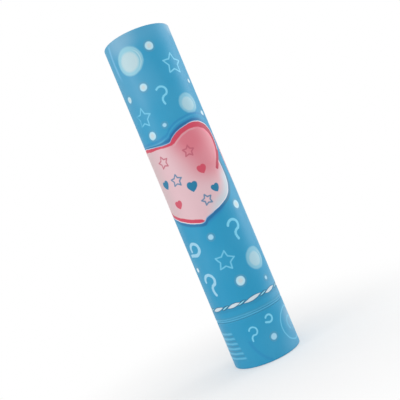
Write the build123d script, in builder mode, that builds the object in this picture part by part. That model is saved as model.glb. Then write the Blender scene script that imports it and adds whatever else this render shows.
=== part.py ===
from build123d import *
import math
import os

# A twist-type confetti popper, standing on its base with the axis on Z.
# The origin is the centre of the lower end. All lengths are in millimetres.

# Whole popper
outer_diameter = 50.0
total_length = 246.0
base_length = 34.4
tube_wall = 2.0
film_thickness = 0.25
rim_round = 1.0

# Clearances
glue_gap = 0.05
running_gap = 0.1
rest_gap = 0.05
joint_gap = 0.2
slide_gap = 0.3
cut_overrun = 1.0

# Twist collar and retaining ring
collar_ring_height = 1.6
collar_ring_setback = 0.2
collar_land_height = 11.4
collar_land_ledge = 1.8
collar_wall = 1.8
snap_pocket_height = 6.0
snap_thickness = 1.2
snap_groove_depth = 0.8
snap_room = 0.5
snap_opening = 12.0

# Base hub and cover
hub_wall = 1.8
hub_deck = 3.0
hub_rib = 1.6
hub_rib_count = 6
hub_rib_angle = 45
hub_rib_bottom = 9.0
spigot_wall = 2.2
spigot_lip = 2.5
cam_wall = 2.9
cam_bottom = 8.0
slot_gap = 0.2
slot_relief = 0.5
cover_thickness = 2.0
cover_plug_wall = 2.0
cover_plug_height = 4.0
cover_foot_width = 3.0
cover_recess = 0.6
cover_rib = 1.6
cover_rib_count = 6
cover_boss_radius = 5.0

# Striker
twist_angle = 90
lift = 7.0
rod_radius = 6.5
rod_foot = 5.0
rod_flats = 9.0
rod_reach = 1.0
stem_radius = 4.0
cam_pin_radius = 1.5
cam_pin_height = 14.0
cam_pin_setback = 0.2
push_pin_radius = 2.0
push_pin_depth = 4.0
push_pin_round = 0.6

# Gland plate and its seal
gland_thickness = 5.0
gland_boss_radius = 10.5
gland_boss_gap = 3.6
key_roof = 1.0
key_margin = 0.5
rod_seal_section = 1.8
washer_radius = 8.0
washer_thickness = 1.0

# Air bottle, its seat and its valve
chamber_height = 9.0
gas_passage = 5.75
bottle_wall = 1.2
bottle_shoulder = 9.0
bottle_body_length = 47.0
bottle_end_round = 9.0
neck_radius = 10.0
neck_wall = 1.5
neck_length = 18.2
seat_wall = 1.8
seat_socket_wall = 2.5
seat_rib = 1.8
seat_rib_count = 6
housing_flange = 1.2
housing_depth = 8.0
gasket_thickness = 0.8
valve_port_radius = 5.0
poppet_head_radius = 7.4
poppet_head_height = 4.0
poppet_head_chamfer = 1.0
poppet_stem_radius = 3.0
poppet_stem_length = 5.0
poppet_seal_section = 1.6
poppet_seal_stand = 0.6

# Bottle spider
spider_wall = 1.6
spider_ring_height = 13.0
spider_fin = 1.6
spider_fin_count = 6
spider_fin_overshoot = 2.0

# Wad, confetti and muzzle cap
wad_wall = 1.6
wad_skirt = 7.0
wad_crown = 3.0
felt_thickness = 4.0
tier_count = 2
stack_gap = 0.3
slip_width_share = 0.757
muzzle_recess = 5.5
cap_thickness = 2.0
foil_thickness = 0.3

# Radii, from the outside in
outer_radius = outer_diameter / 2
tube_radius = outer_radius - film_thickness
tube_bore = tube_radius - tube_wall
glued_radius = tube_bore - glue_gap
pocket_radius = glued_radius - collar_wall
collar_bore = pocket_radius - collar_land_ledge
spigot_radius = collar_bore - running_gap
spigot_bore = spigot_radius - spigot_wall
snap_floor = spigot_radius - snap_groove_depth
hub_bore = glued_radius - hub_wall
rod_bore = rod_radius + running_gap
cam_radius = rod_bore + cam_wall
slot_radius = cam_pin_radius + slot_gap
stem_bore = stem_radius + running_gap
bottle_radius = tube_bore - gas_passage
neck_bore = neck_radius - neck_wall
charge_radius = tube_bore - slide_gap

# Heights, from the base up
base_top = base_length
deck_bottom = base_top - hub_deck
ring_bottom = base_top + joint_gap
ring_top = ring_bottom + collar_ring_height
barrel_bottom = ring_top + joint_gap
land_top = ring_bottom + collar_land_height
snap_bottom = land_top + joint_gap
snap_top = snap_bottom + snap_thickness
spigot_top = snap_top + spigot_lip
gland_bottom = land_top + snap_pocket_height
gland_top = gland_bottom + gland_thickness
boss_bottom = base_top + gland_boss_gap
key_hole_top = gland_bottom - key_roof
rod_bottom = cam_pin_height - rod_foot
rod_key_top = key_hole_top - lift - key_margin
rod_top = gland_top + rod_reach
washer_bottom = gland_top - washer_thickness
rod_seal_top = washer_bottom - rest_gap
mouth_bottom = gland_top + chamber_height
flange_top = mouth_bottom + housing_flange
neck_bottom = flange_top + gasket_thickness
housing_top = neck_bottom + housing_depth
shoulder_bottom = neck_bottom + neck_length
shoulder_top = shoulder_bottom + bottle_shoulder
bottle_body_top = shoulder_top + bottle_body_length
bottle_top = bottle_body_top + bottle_end_round
poppet_seal_height = housing_top + rest_gap + poppet_seal_section / 2
poppet_head_bottom = housing_top + poppet_seal_stand
poppet_bottom = poppet_head_bottom - poppet_stem_length
fin_top = bottle_top + spider_fin_overshoot
wad_bottom = fin_top + rest_gap
crown_bottom = wad_bottom + wad_skirt
felt_bottom = crown_bottom + wad_crown
felt_top = felt_bottom + felt_thickness
foil_top = total_length - muzzle_recess
foil_bottom = foil_top - foil_thickness
cap_bottom = foil_bottom - cap_thickness

# Confetti: five rows of stacks fill the round bore, with one stack in each outer row
slip_width = slip_width_share * charge_radius
outer_row_edge = math.sqrt(charge_radius**2 - (slip_width / 2) ** 2)
row_stacks = (1, 2, 2, 2, 1)
row_count = len(row_stacks)
stack_depth = (2 * outer_row_edge - (row_count - 1) * stack_gap) / row_count
row_pitch = stack_depth + stack_gap
stack_pitch = slip_width + stack_gap
tier_pitch = (cap_bottom - felt_top - rest_gap) / tier_count
tier_height = tier_pitch - rest_gap
stack_places = [
    ((row - (row_count - 1) / 2) * row_pitch, (stack - (stacks - 1) / 2) * stack_pitch)
    for row, stacks in enumerate(row_stacks)
    for stack in range(stacks)
]


def ring_section(inner, outer, bottom, top, mode=Mode.ADD):
    """Section of a ring about the axis, between two radii and two heights."""
    with Locations((inner, bottom)):
        Rectangle(outer - inner, top - bottom, align=(Align.MIN, Align.MIN), mode=mode)


def film_outline(open_end, rolled_end):
    """Outline of the film on a tube, with a lip rolled over the rim at one end."""
    way = math.copysign(1, rolled_end - open_end)
    corner = rolled_end - way * rim_round
    lip_under = rolled_end - way * film_thickness
    flat_radius = outer_radius - rim_round
    arc_centre = (flat_radius, corner)
    Line((outer_radius, open_end), (outer_radius, corner))
    CenterArc(arc_centre, rim_round, 0, way * 90)
    Polyline(
        (flat_radius, rolled_end),
        (tube_bore, rolled_end),
        (tube_bore, lip_under),
        (flat_radius, lip_under),
    )
    CenterArc(arc_centre, rim_round - film_thickness, way * 90, way * -90)
    Polyline((tube_radius, corner), (tube_radius, open_end), (outer_radius, open_end))


def radial_plates(inner, outer, thickness, count, start_angle=0):
    """Plan of evenly spaced plates that stand out from the axis."""
    with PolarLocations((inner + outer) / 2, count, start_angle):
        Rectangle(outer - inner, thickness)


# Barrel tube: wound paper, rounded at the muzzle
with BuildPart() as barrel_tube:
    with BuildSketch(Plane.XZ) as barrel_section:
        ring_section(tube_bore, tube_radius, barrel_bottom, total_length - film_thickness)
        muzzle_edge = barrel_section.vertices().sort_by(Axis.Y)[-2:].sort_by(Axis.X)[-1]
        fillet(muzzle_edge, rim_round - film_thickness)
    revolve(axis=Axis.Z)

# Barrel film: printed sleeve with its lip rolled over the muzzle
with BuildPart() as barrel_wrap:
    with BuildSketch(Plane.XZ):
        with BuildLine():
            film_outline(barrel_bottom, total_length)
        make_face()
    revolve(axis=Axis.Z)

# Base sleeve: short wound paper tube, rounded at the lower end
with BuildPart() as base_sleeve:
    with BuildSketch(Plane.XZ) as base_section:
        ring_section(tube_bore, tube_radius, film_thickness, base_top)
        foot_edge = base_section.vertices().sort_by(Axis.Y)[:2].sort_by(Axis.X)[-1]
        fillet(foot_edge, rim_round - film_thickness)
    revolve(axis=Axis.Z)

# Base film: printed sleeve with its lip rolled under the base
with BuildPart() as base_wrap:
    with BuildSketch(Plane.XZ):
        with BuildLine():
            film_outline(base_top, 0)
        make_face()
    revolve(axis=Axis.Z)

# Base cover: disc with a foot ring, a ribbed recess and a plug ring inside the hub
with BuildPart() as base_cover:
    with BuildSketch(Plane.XZ):
        ring_section(0, glued_radius, 0, cover_thickness)
        plug_radius = hub_bore - glue_gap
        plug_top = cover_thickness + cover_plug_height
        ring_section(plug_radius - cover_plug_wall, plug_radius, cover_thickness, plug_top)
        ring_section(cover_boss_radius, glued_radius - cover_foot_width, 0, cover_recess, Mode.SUBTRACT)
    revolve(axis=Axis.Z)
    with BuildSketch(Plane.XY):
        boss_overlap = cover_boss_radius / 2
        foot_overlap = glued_radius - cover_foot_width / 2
        radial_plates(boss_overlap, foot_overlap, cover_rib, cover_rib_count)
    extrude(amount=cover_thickness)

# Cam slot: the path of the cam pin through the cam barrel as the base turns
with BuildPart() as cam_slot:
    slot_inner = rod_bore - slot_relief
    slot_outer = cam_radius + slot_relief
    with BuildLine() as cam_path:
        Helix(
            pitch=lift * 360 / twist_angle,
            height=lift,
            radius=(slot_inner + slot_outer) / 2,
            center=(0, 0, cam_pin_height),
            lefthand=True,
        )
    with BuildSketch(Plane(origin=cam_path.line @ 0, x_dir=(1, 0, 0), z_dir=cam_path.line % 0)):
        Rectangle(slot_outer - slot_inner, 2 * slot_radius)
    sweep(path=cam_path.line, is_frenet=True)

# Base hub: skirt, deck, spigot with a snap groove, cam barrel with two slots, and ribs
with BuildPart() as base_hub:
    with BuildSketch(Plane.XZ):
        ring_section(hub_bore, glued_radius, cover_thickness, base_top)
        ring_section(rod_bore, glued_radius, deck_bottom, base_top)
        ring_section(rod_bore, cam_radius, cam_bottom, base_top)
        ring_section(spigot_bore, spigot_radius, base_top, spigot_top)
        groove_bottom = snap_bottom - rest_gap
        ring_section(snap_floor, collar_bore, groove_bottom, snap_top + rest_gap, Mode.SUBTRACT)
    revolve(axis=Axis.Z)
    with BuildSketch(Plane.XY.offset(hub_rib_bottom)):
        rib_inner = cam_radius - cam_wall / 2
        rib_outer = hub_bore + hub_wall / 2
        radial_plates(rib_inner, rib_outer, hub_rib, hub_rib_count, hub_rib_angle)
    extrude(amount=deck_bottom - hub_rib_bottom)
    with PolarLocations(0, 2):
        add(cam_slot.part, mode=Mode.SUBTRACT)
    with BuildSketch(Plane.YZ):
        with Locations((0, cam_pin_height)):
            Circle(slot_radius)
    extrude(amount=glued_radius + cut_overrun, both=True, mode=Mode.SUBTRACT)
    slot_end_way = Vector(1, 0, 0).rotate(Axis.Z, -twist_angle)
    with BuildSketch(Plane(origin=(0, 0, cam_pin_height + lift), z_dir=slot_end_way)):
        Circle(slot_radius)
    extrude(amount=slot_outer, both=True, mode=Mode.SUBTRACT)

# Retaining ring: split ring in the snap groove of the spigot
with BuildPart() as retaining_ring:
    with BuildSketch(Plane.XY.offset(snap_bottom)):
        Circle(pocket_radius - snap_room)
        Circle(snap_floor + glue_gap, mode=Mode.SUBTRACT)
        Rectangle(outer_radius, snap_opening, align=(Align.MIN, Align.CENTER), mode=Mode.SUBTRACT)
    extrude(amount=snap_thickness)

# Twist collar: glued in the barrel, its ring shows between the barrel and the base
with BuildPart() as twist_collar:
    with BuildSketch(Plane.XZ):
        ring_section(collar_bore, outer_radius - collar_ring_setback, ring_bottom, ring_top)
        ring_section(collar_bore, glued_radius, ring_top, gland_bottom)
        ring_section(collar_bore, pocket_radius, land_top, gland_bottom, Mode.SUBTRACT)
    revolve(axis=Axis.Z)

# Gland plate: keyed guide below, seal pocket and washer recess above
with BuildPart() as gland_plate:
    seal_pocket_radius = stem_radius + running_gap + rod_seal_section
    with BuildSketch(Plane.XZ):
        ring_section(stem_bore, glued_radius, gland_bottom, gland_top)
        ring_section(stem_bore, gland_boss_radius, boss_bottom, gland_bottom)
        seal_floor = rod_seal_top - rod_seal_section - rest_gap
        ring_section(stem_bore, seal_pocket_radius, seal_floor, gland_top, Mode.SUBTRACT)
        ring_section(stem_bore, washer_radius + glue_gap, washer_bottom, gland_top, Mode.SUBTRACT)
    revolve(axis=Axis.Z)
    with BuildSketch(Plane.XY.offset(boss_bottom)):
        Circle(rod_bore)
        Rectangle(2 * rod_bore, rod_flats + 2 * running_gap, mode=Mode.INTERSECT)
    extrude(amount=key_hole_top - boss_bottom, mode=Mode.SUBTRACT)

# Rod seal: rubber ring round the stem of the striker
with BuildPart() as rod_seal:
    with Locations((0, 0, rod_seal_top - rod_seal_section / 2)):
        Torus(stem_radius + running_gap / 2 + rod_seal_section / 2, rod_seal_section / 2)

# Seal washer: keeps the rod seal in its pocket
with BuildPart() as seal_washer:
    with BuildSketch(Plane.XY.offset(washer_bottom)):
        Circle(washer_radius)
        Circle(stem_bore, mode=Mode.SUBTRACT)
    extrude(amount=washer_thickness)

# Striker rod: cam foot, two flats that keep it from turning, and a round stem
with BuildPart() as striker_rod:
    with BuildSketch(Plane.XZ):
        ring_section(0, rod_radius, rod_bottom, rod_key_top)
        ring_section(0, stem_radius, rod_key_top, rod_top)
        ring_section(0, push_pin_radius + glue_gap, rod_top - push_pin_depth, rod_top, Mode.SUBTRACT)
    revolve(axis=Axis.Z)
    flats_bottom = boss_bottom - lift - key_margin
    with BuildSketch(Plane.XY.offset(flats_bottom)):
        Circle(rod_radius + cut_overrun)
        Rectangle(2 * (rod_radius + cut_overrun), rod_flats, mode=Mode.SUBTRACT)
    extrude(amount=rod_key_top - flats_bottom, mode=Mode.SUBTRACT)
    with BuildSketch(Plane.YZ):
        with Locations((0, cam_pin_height)):
            Circle(cam_pin_radius + glue_gap)
    extrude(amount=rod_radius + cut_overrun, both=True, mode=Mode.SUBTRACT)

# Cam pin: steel cross pin with its ends in the two cam slots
with BuildPart() as cam_pin:
    with BuildSketch(Plane.YZ):
        with Locations((0, cam_pin_height)):
            Circle(cam_pin_radius)
    extrude(amount=cam_radius - cam_pin_setback, both=True)

# Push pin: steel tip that lifts the poppet
with BuildPart() as push_pin:
    with BuildSketch(Plane.XY.offset(rod_top - push_pin_depth)):
        Circle(push_pin_radius)
    extrude(amount=poppet_bottom - rest_gap - rod_top + push_pin_depth)
    fillet(push_pin.edges().sort_by(Axis.Z)[-1], push_pin_round)

# Bottle seat: ribbed ring with a socket for the neck, open for the gas
with BuildPart() as bottle_seat:
    socket_bore = neck_radius + glue_gap
    socket_radius = socket_bore + seat_socket_wall
    with BuildSketch(Plane.XZ):
        ring_section(glued_radius - seat_wall, glued_radius, gland_top, shoulder_bottom)
        ring_section(socket_bore, socket_radius, neck_bottom, shoulder_bottom)
    revolve(axis=Axis.Z)
    with BuildSketch(Plane.XY.offset(neck_bottom)):
        seat_plate_inner = socket_radius - seat_socket_wall / 2
        seat_plate_outer = glued_radius - seat_wall / 2
        radial_plates(seat_plate_inner, seat_plate_outer, seat_rib, seat_rib_count)
    extrude(amount=shoulder_bottom - neck_bottom)

# Air bottle: drawn can, neck down, with a rounded closed end
with BuildPart() as air_bottle:
    with BuildSketch(Plane.XZ):
        with BuildLine():
            can_bore = bottle_radius - bottle_wall
            end_flat = bottle_radius - bottle_end_round
            end_centre = (end_flat, bottle_body_top)
            Polyline(
                (neck_bore, neck_bottom),
                (neck_radius, neck_bottom),
                (neck_radius, shoulder_bottom),
                (bottle_radius, shoulder_top),
                (bottle_radius, bottle_body_top),
            )
            CenterArc(end_centre, bottle_end_round, 0, 90)
            Polyline(
                (end_flat, bottle_top),
                (0, bottle_top),
                (0, bottle_top - bottle_wall),
                (end_flat, bottle_top - bottle_wall),
            )
            CenterArc(end_centre, bottle_end_round - bottle_wall, 90, -90)
            Polyline(
                (can_bore, bottle_body_top),
                (can_bore, shoulder_top + bottle_wall / 2),
                (neck_bore, shoulder_bottom + bottle_wall / 2),
                (neck_bore, neck_bottom),
            )
        make_face()
    revolve(axis=Axis.Z)

# Valve housing: flanged bush in the neck, its top face is the valve seat
with BuildPart() as valve_housing:
    with BuildSketch(Plane.XZ):
        ring_section(valve_port_radius, neck_radius, mouth_bottom, flange_top)
        ring_section(valve_port_radius, neck_bore - glue_gap, flange_top, housing_top)
    revolve(axis=Axis.Z)

# Housing gasket: flat ring between the flange and the end of the neck
with BuildPart() as housing_gasket:
    with BuildSketch(Plane.XY.offset(flange_top)):
        Circle(neck_radius)
        Circle(neck_bore, mode=Mode.SUBTRACT)
    extrude(amount=gasket_thickness)

# Valve poppet: headed stem with a groove for its seal under the head
with BuildPart() as valve_poppet:
    seal_centre_radius = (valve_port_radius + poppet_head_radius) / 2
    with BuildSketch(Plane.XZ):
        ring_section(0, poppet_stem_radius, poppet_bottom, poppet_head_bottom)
        ring_section(0, poppet_head_radius, poppet_head_bottom, poppet_head_bottom + poppet_head_height)
        groove_half_width = poppet_seal_section / 2 + rest_gap
        groove_top = poppet_seal_height + groove_half_width
        ring_section(
            seal_centre_radius - groove_half_width,
            seal_centre_radius + groove_half_width,
            poppet_head_bottom,
            groove_top,
            Mode.SUBTRACT,
        )
    revolve(axis=Axis.Z)
    chamfer(valve_poppet.edges().sort_by(Axis.Z)[-1], poppet_head_chamfer)

# Poppet seal: rubber ring between the poppet and its seat
with BuildPart() as poppet_seal:
    with Locations((0, 0, poppet_seal_height)):
        Torus(seal_centre_radius, poppet_seal_section / 2)

# Bottle spider: ring round the bottle with fins that reach the bore and carry the wad
with BuildPart() as bottle_spider:
    spider_bore = bottle_radius + glue_gap
    spider_bottom = bottle_body_top - spider_ring_height
    with BuildSketch(Plane.XY.offset(spider_bottom)):
        Circle(spider_bore + spider_wall)
        Circle(spider_bore, mode=Mode.SUBTRACT)
    extrude(amount=spider_ring_height)
    with BuildSketch(Plane.XY.offset(spider_bottom)):
        radial_plates(spider_bore + spider_wall / 2, glued_radius, spider_fin, spider_fin_count)
    extrude(amount=fin_top - spider_bottom)

# Wad cup: gas cup with its skirt towards the bottle
with BuildPart() as wad_cup:
    with BuildSketch(Plane.XZ):
        ring_section(charge_radius - wad_wall, charge_radius, wad_bottom, crown_bottom)
        ring_section(0, charge_radius, crown_bottom, felt_bottom)
    revolve(axis=Axis.Z)

# Wad felt: disc on the cup
with BuildPart() as wad_felt:
    with BuildSketch(Plane.XY.offset(felt_bottom)):
        Circle(charge_radius)
    extrude(amount=felt_thickness)

# Confetti: tiers of stacked tissue slips
tier_bottoms = [felt_top + rest_gap + tier * tier_pitch for tier in range(tier_count)]
with BuildPart() as confetti_lower:
    with BuildSketch(Plane.XY.offset(tier_bottoms[0])):
        with Locations(*stack_places):
            Rectangle(stack_depth, slip_width)
    extrude(amount=tier_height)

with BuildPart() as confetti_upper:
    with BuildSketch(Plane.XY.offset(tier_bottoms[-1])):
        with Locations(*stack_places):
            Rectangle(stack_depth, slip_width)
    extrude(amount=tier_height)

# Muzzle cap: card disc over the charge
with BuildPart() as muzzle_cap:
    with BuildSketch(Plane.XY.offset(cap_bottom)):
        Circle(charge_radius)
    extrude(amount=cap_thickness)

# Muzzle foil: foil face of the cap
with BuildPart() as muzzle_foil:
    with BuildSketch(Plane.XY.offset(foil_bottom)):
        Circle(charge_radius)
    extrude(amount=foil_thickness)

pieces = {
    "barrel_tube": barrel_tube,
    "barrel_wrap": barrel_wrap,
    "base_sleeve": base_sleeve,
    "base_wrap": base_wrap,
    "base_cover": base_cover,
    "base_hub": base_hub,
    "retaining_ring": retaining_ring,
    "twist_collar": twist_collar,
    "gland_plate": gland_plate,
    "rod_seal": rod_seal,
    "seal_washer": seal_washer,
    "striker_rod": striker_rod,
    "cam_pin": cam_pin,
    "push_pin": push_pin,
    "bottle_seat": bottle_seat,
    "air_bottle": air_bottle,
    "valve_housing": valve_housing,
    "housing_gasket": housing_gasket,
    "valve_poppet": valve_poppet,
    "poppet_seal": poppet_seal,
    "bottle_spider": bottle_spider,
    "wad_cup": wad_cup,
    "wad_felt": wad_felt,
    "confetti_lower": confetti_lower,
    "confetti_upper": confetti_upper,
    "muzzle_cap": muzzle_cap,
    "muzzle_foil": muzzle_foil,
}

os.makedirs("parts", exist_ok=True)
for name, piece in pieces.items():
    piece.part.label = name
    export_step(piece.part, f"parts/{name}.step")
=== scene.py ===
import math
import random

import bmesh
import bpy
from mathutils import Matrix, Vector, noise


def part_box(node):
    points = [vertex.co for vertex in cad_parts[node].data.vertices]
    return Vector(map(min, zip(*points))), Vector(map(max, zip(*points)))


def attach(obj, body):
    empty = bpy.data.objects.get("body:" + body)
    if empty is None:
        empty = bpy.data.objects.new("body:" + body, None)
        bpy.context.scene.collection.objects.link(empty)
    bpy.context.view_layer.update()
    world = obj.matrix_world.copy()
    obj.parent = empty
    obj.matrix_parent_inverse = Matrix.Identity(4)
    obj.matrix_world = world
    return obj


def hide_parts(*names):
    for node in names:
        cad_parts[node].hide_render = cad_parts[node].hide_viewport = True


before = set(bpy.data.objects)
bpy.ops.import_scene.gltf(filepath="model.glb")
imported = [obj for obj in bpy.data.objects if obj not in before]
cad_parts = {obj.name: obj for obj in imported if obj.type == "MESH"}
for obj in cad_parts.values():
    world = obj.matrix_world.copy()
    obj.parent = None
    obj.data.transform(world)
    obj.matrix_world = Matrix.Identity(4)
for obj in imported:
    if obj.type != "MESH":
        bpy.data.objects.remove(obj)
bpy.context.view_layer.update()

MM = 0.001
TURN = 2 * math.pi

# Sizes read from the frame
BARREL_LOW, BARREL_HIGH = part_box("barrel_wrap")
BASE_LOW, BASE_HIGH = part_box("base_wrap")
FOIL_LOW, FOIL_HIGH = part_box("muzzle_foil")
FELT_LOW, FELT_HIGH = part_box("wad_felt")
RADIUS = BARREL_HIGH.x
RADIUS_MM = RADIUS / MM
JOINT_TOP_MM = BARREL_LOW.z / MM
JOINT_BOTTOM_MM = BASE_HIGH.z / MM

# Film: rolled lip, lap seam and shrink marks
FILM_THICKNESS = 0.25 * MM
RIM_ROUND, RIM_STEPS, LIP_WIDTH = 1.0 * MM, 8, 1.25 * MM
FILM_SIDES, FILM_ROW, BACK_ROW = 360, 1.8 * MM, 12 * MM
LAP_ANGLE, LAP_WIDTH, LAP_STEP = math.radians(-104.3), 7 * MM, 0.06 * MM
FILM_SAG, SAG_SIZE = 0.05 * MM, 22 * MM
PUCKER_COUNT, PUCKER_DEPTH = 46, 0.11 * MM
PUCKER_WANDER, PUCKER_WANDER_SIZE = 3, 8 * MM
SWELL_MIDDLE, SWELL_REACH, SWELL_SIZE = 0.55, 0.45, 14 * MM
CREASE_DEPTH, CREASE_WIDTH, CREASE_LENGTH = 0.12 * MM, 0.9 * MM, 27 * MM
CUT_WANDER, CUT_WAVES = 0.05 * MM, 4
# How far each film reaches towards the collar past its solid
FILM_REACH = 0.1 * MM
# Share of the texture map for each length of the front, the lip's inner side and the back
FRONT_WEIGHT, LIP_WEIGHT, BACK_WEIGHT = 1, 0.2, 0.03

# The label is printed twice round the tube. Each copy starts at these places, in label millimetres
LABEL_COPIES = 2
LABEL_PERIOD = TURN * RADIUS_MM / LABEL_COPIES
BARREL_LABEL_START = -45.5
BASE_LABEL_START = -36.5
# Light line by each film's cut edge, partly the pale edge and partly painted highlight: height and strength
BARREL_LIGHT_LINE, BASE_LIGHT_LINE = (JOINT_TOP_MM + 0.3, 0.55), (JOINT_BOTTOM_MM, 0.15)
# How far the printed edges wander, and the scale of the noise that moves them
EDGE_WANDER, EDGE_WANDER_SCALE = 0.7, 240

# Print colours
FILM_BLUE = "#0A93BF"
FILM_BLUE_LIGHT = "#3FA1C8"
# Painted highlight laid over the film
FILM_HIGHLIGHT = "#B5CFDF"
SHADOW_BLUE = "#0077B6"
SHADOW_DEEP = "#00659B"
SHADOW_GREY = "#3F7794"
STROKE_CYAN = "#76CEEC"
PALE_CYAN = "#98CFE8"
BUBBLE_HALO = "#8FCADC"
BUBBLE_CORE = "#BAD5DC"
BUBBLE_SHADE = "#6DA7C0"
DOT_RIM = "#B6E0EE"
DOT_CORE = "#C6D6DB"
DOT_WHITE = "#CDE7F1"
DOT_BLUE = "#A2D5EC"
DOT_SHADE = "#6A8FA0"
# Painted highlight along the crease
CREASE_HIGHLIGHT = "#7CC0E6"
HEART_PALE = "#DEB9C0"
HEART_ROSE = "#D46A7B"
HEART_RED = "#CB3B57"
HEART_RED_DEEP = "#B01E44"
HEART_EDGE = "#E9E3EA"
HEART_GLEAM = "#F47797"
HEART_MIST = "#C3D2DB"
# Painted shade on the heart's left
HEART_LEFT_SHADE = "#B4B4B0"
TEAL = "#00769E"
ROSE_INK = "#B9566B"
TWINE_WHITE = "#CDDDE6"
TWINE_LIGHT = "#8FDCF0"
TWINE_DARK = "#0C587C"

# Print, in label millimetres. A span says where a mask is zero, where it is full, and its strength or one
STROKE_SOFT, STROKE_BLEND = 0.3, 0.4
# Strokes wider than this are printed paler
WIDE_STROKE = 2
# Painted highlight on the film: towards the muzzle, and in patches, each a place and a span
MUZZLE_HIGHLIGHT = (226, 244, 0.1)
HIGHLIGHT_PATCHES = [
    (-13, 243, 17, 4, 0.26), (33, 243, 9, 2, 0.35), (-20, 212, 32, 6, 0.09), (30, 44, 18, 3, 0.12),
]
BASE_HIGHLIGHT_PATCHES = [(26, 2, 20, 3, 0.12), (34, 21, 16, 3, 0.34)]
# A crease in the film near the muzzle: its middle, how it bends with height, then the ends and soft edge of
# a painted highlight along it
CREASE_S, CREASE_Z, CREASE_BEND = -25.4, 230, 0.009
CREASE_ENDS, CREASE_EDGE = [(216, 226), (245, 243)], (1.9, 0.3, 0.6)
# Bubbles: place, size of the halo and of the core, then the strength of each
BUBBLES = [
    (-10.5, 227.2, 10.3, 7.1, 0.96, 0.95), (17.9, 186.0, 7.8, 5.3, 0.67, 0.57),
    (19.8, 69.2, 8.4, 5.4, 0.69, 0.57),
]
BUBBLE_EDGE, CORE_SHIFT, CORE_EDGE_SHARES = (0.5, -1.2), (-0.4, -0.5), (1.13, 0.78)
# Thin arcs at the right of each bubble: radius as a share of the halo, ink and strength
BUBBLE_ARCS = [(0.75, BUBBLE_SHADE, 0.4), (0.83, BUBBLE_CORE, 0.5), (0.91, BUBBLE_SHADE, 0.3)]
BUBBLE_ARC_EDGE, BUBBLE_RIGHT_SHARES = (0.55, 0.1), (0.35, 0.75)
# Dots: white ones with a grey middle, plain white ones and pale blue ones, each in a dull ring
DOTS = [
    (6.4, 231.5, 3.1), (-8.5, 206.8, 2.8), (-24.7, 204.2, 2.3), (-16.8, 174.0, 3.0), (23.5, 108.3, 3.1),
    (2.2, 59.2, 3.3),
]
WHITE_DOTS = [(29.2, 201.5, 1.6), (29.3, 177.0, 1.9), (-28.8, 75.5, 1.8)]
BLUE_DOTS = [(-4.9, 177.2, 1.5), (-5.2, 94.3, 2.0), (22.3, 53.2, 1.4)]
DOT_EDGE, DOT_CORE_SHARE = (0.4, -0.6), 0.55
DOT_RING_GAP, DOT_RING_EDGE = 0.75, (0.75, 0.1, 0.3)
# Stars: place, size, turn in degrees, strength, and the share of it left at the worn left tip
STARS = [
    (18.8, 215.5, 7.8, -7, 0.9, 1.0), (-18.4, 187.8, 7.0, -11, 0.72, 0.3), (-2.3, 75.7, 6.9, -14, 0.75, 1.0),
]
STAR_STROKE, STAR_WORN_SHARES = 1.0, (-0.75, -0.35)
# Curls: centre and radius of the bowl, start of the bowl and turn of the tail in degrees, stroke
CURLS = [
    (2.0, 199.1, 3.6, 138, 0, 1.4), (12.9, 96.0, 4.05, 164, 4, 1.85), (-19.7, 66.0, 4.4, 182, 9, 2.1),
]
BOWL_END = -48
TAIL_SHARES = [(0.67, -0.74), (0.1, -0.95), (-0.18, -1.22), (-0.3, -1.6), (-0.28, -2.0), (-0.17, -2.4)]
# Open rings: centre, radius, start and end of the arc in degrees, reach and rise of the lower arm, stroke
OPEN_RINGS = [(-21.7, 90.0, 4.3, 190, -95, 6.5, 0.5, 2.3)]

# Large heart: outline, as angle in degrees and radius about its centre
HEART_CENTRE = (-6.5, 138.0, 0)
HEART_OUTLINE = [
    (-180, 38.4), (-155, 37.4), (-142, 35.4), (-128, 32.4), (-113, 31.5), (-98, 32.1), (-89, 32.9),
    (-82, 30.8), (-70, 30.1), (-56, 30.9), (-40, 32.7), (-28, 33.1), (-15, 32.3), (-5, 31.3), (4, 30.9),
    (10, 32.8), (18, 37.4), (26, 41.7), (33, 44.2), (41, 44.9), (49, 43.8), (57, 41.4), (67, 36.9),
    (77, 32.8), (85, 29.1), (91, 26.9), (98, 27.2), (106, 28.7), (121, 34.2), (133, 41.6), (139, 44.2),
    (146, 43.4), (160, 40.4), (180, 38.4),
]
# Width of the red band inside that outline, by angle
HEART_BAND = [
    (-180, 2.4), (-150, 2.6), (-135, 2.7), (-127, 2.4), (-119, 2.6), (-100, 2.65), (-92, 2.5), (-88, 1.6),
    (-84, 0.0), (4, 0.0), (14, 2.6), (30, 3.9), (43, 4.2), (51, 4.4), (60, 4.3), (68, 4.0), (76, 4.6),
    (81, 4.4), (86, 3.2), (92, 1.8), (98, 1.7), (110, 2.0), (117, 2.5), (122, 3.2), (128, 3.5),
    (133, 3.3), (180, 2.4),
]
# Values above any radius and any width in these lists
RADIUS_SCALE, WIDTH_SCALE = 50, 5
# Strength by angle: white edge, pale and pink line inside the band, blue and grey line outside the edge
HEART_EDGE_SHARES = [
    (-180, 1.0), (-96, 1.0), (-87, 0.4), (-73, 0.55), (-58, 0.95), (-20, 1.0), (-8, 0.8), (6, 1.0),
    (50, 1.0), (66, 0.45), (100, 0.35), (112, 0.45), (124, 0.7), (138, 1.0), (180, 1.0),
]
HEART_PALE_SHARES = [(-180, 0.0), (50, 0.0), (60, 1.0), (80, 1.0), (90, 0.0), (180, 0.0)]
HEART_GLEAM_SHARES = [(-180, 0.0), (6, 0.0), (16, 1.0), (42, 1.0), (56, 0.0), (180, 0.0)]
HEART_SHADE_SHARES = [
    (-180, 0.4), (-130, 0.6), (-119, 0.75), (-95, 0.85), (-79, 0.95), (-55, 0.8), (-42, 0.25), (-10, 0.15),
    (10, 0.1), (41, 0.3), (51, 0.6), (61, 0.85), (71, 1.0), (86, 1.0), (101, 0.7), (121, 0.75), (135, 0.6),
    (180, 0.4),
]
HEART_GREY_SHARES = [(-180, 0.0), (-62, 0.0), (-45, 0.8), (-5, 0.95), (10, 0.45), (45, 0.0), (180, 0.0)]
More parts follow.
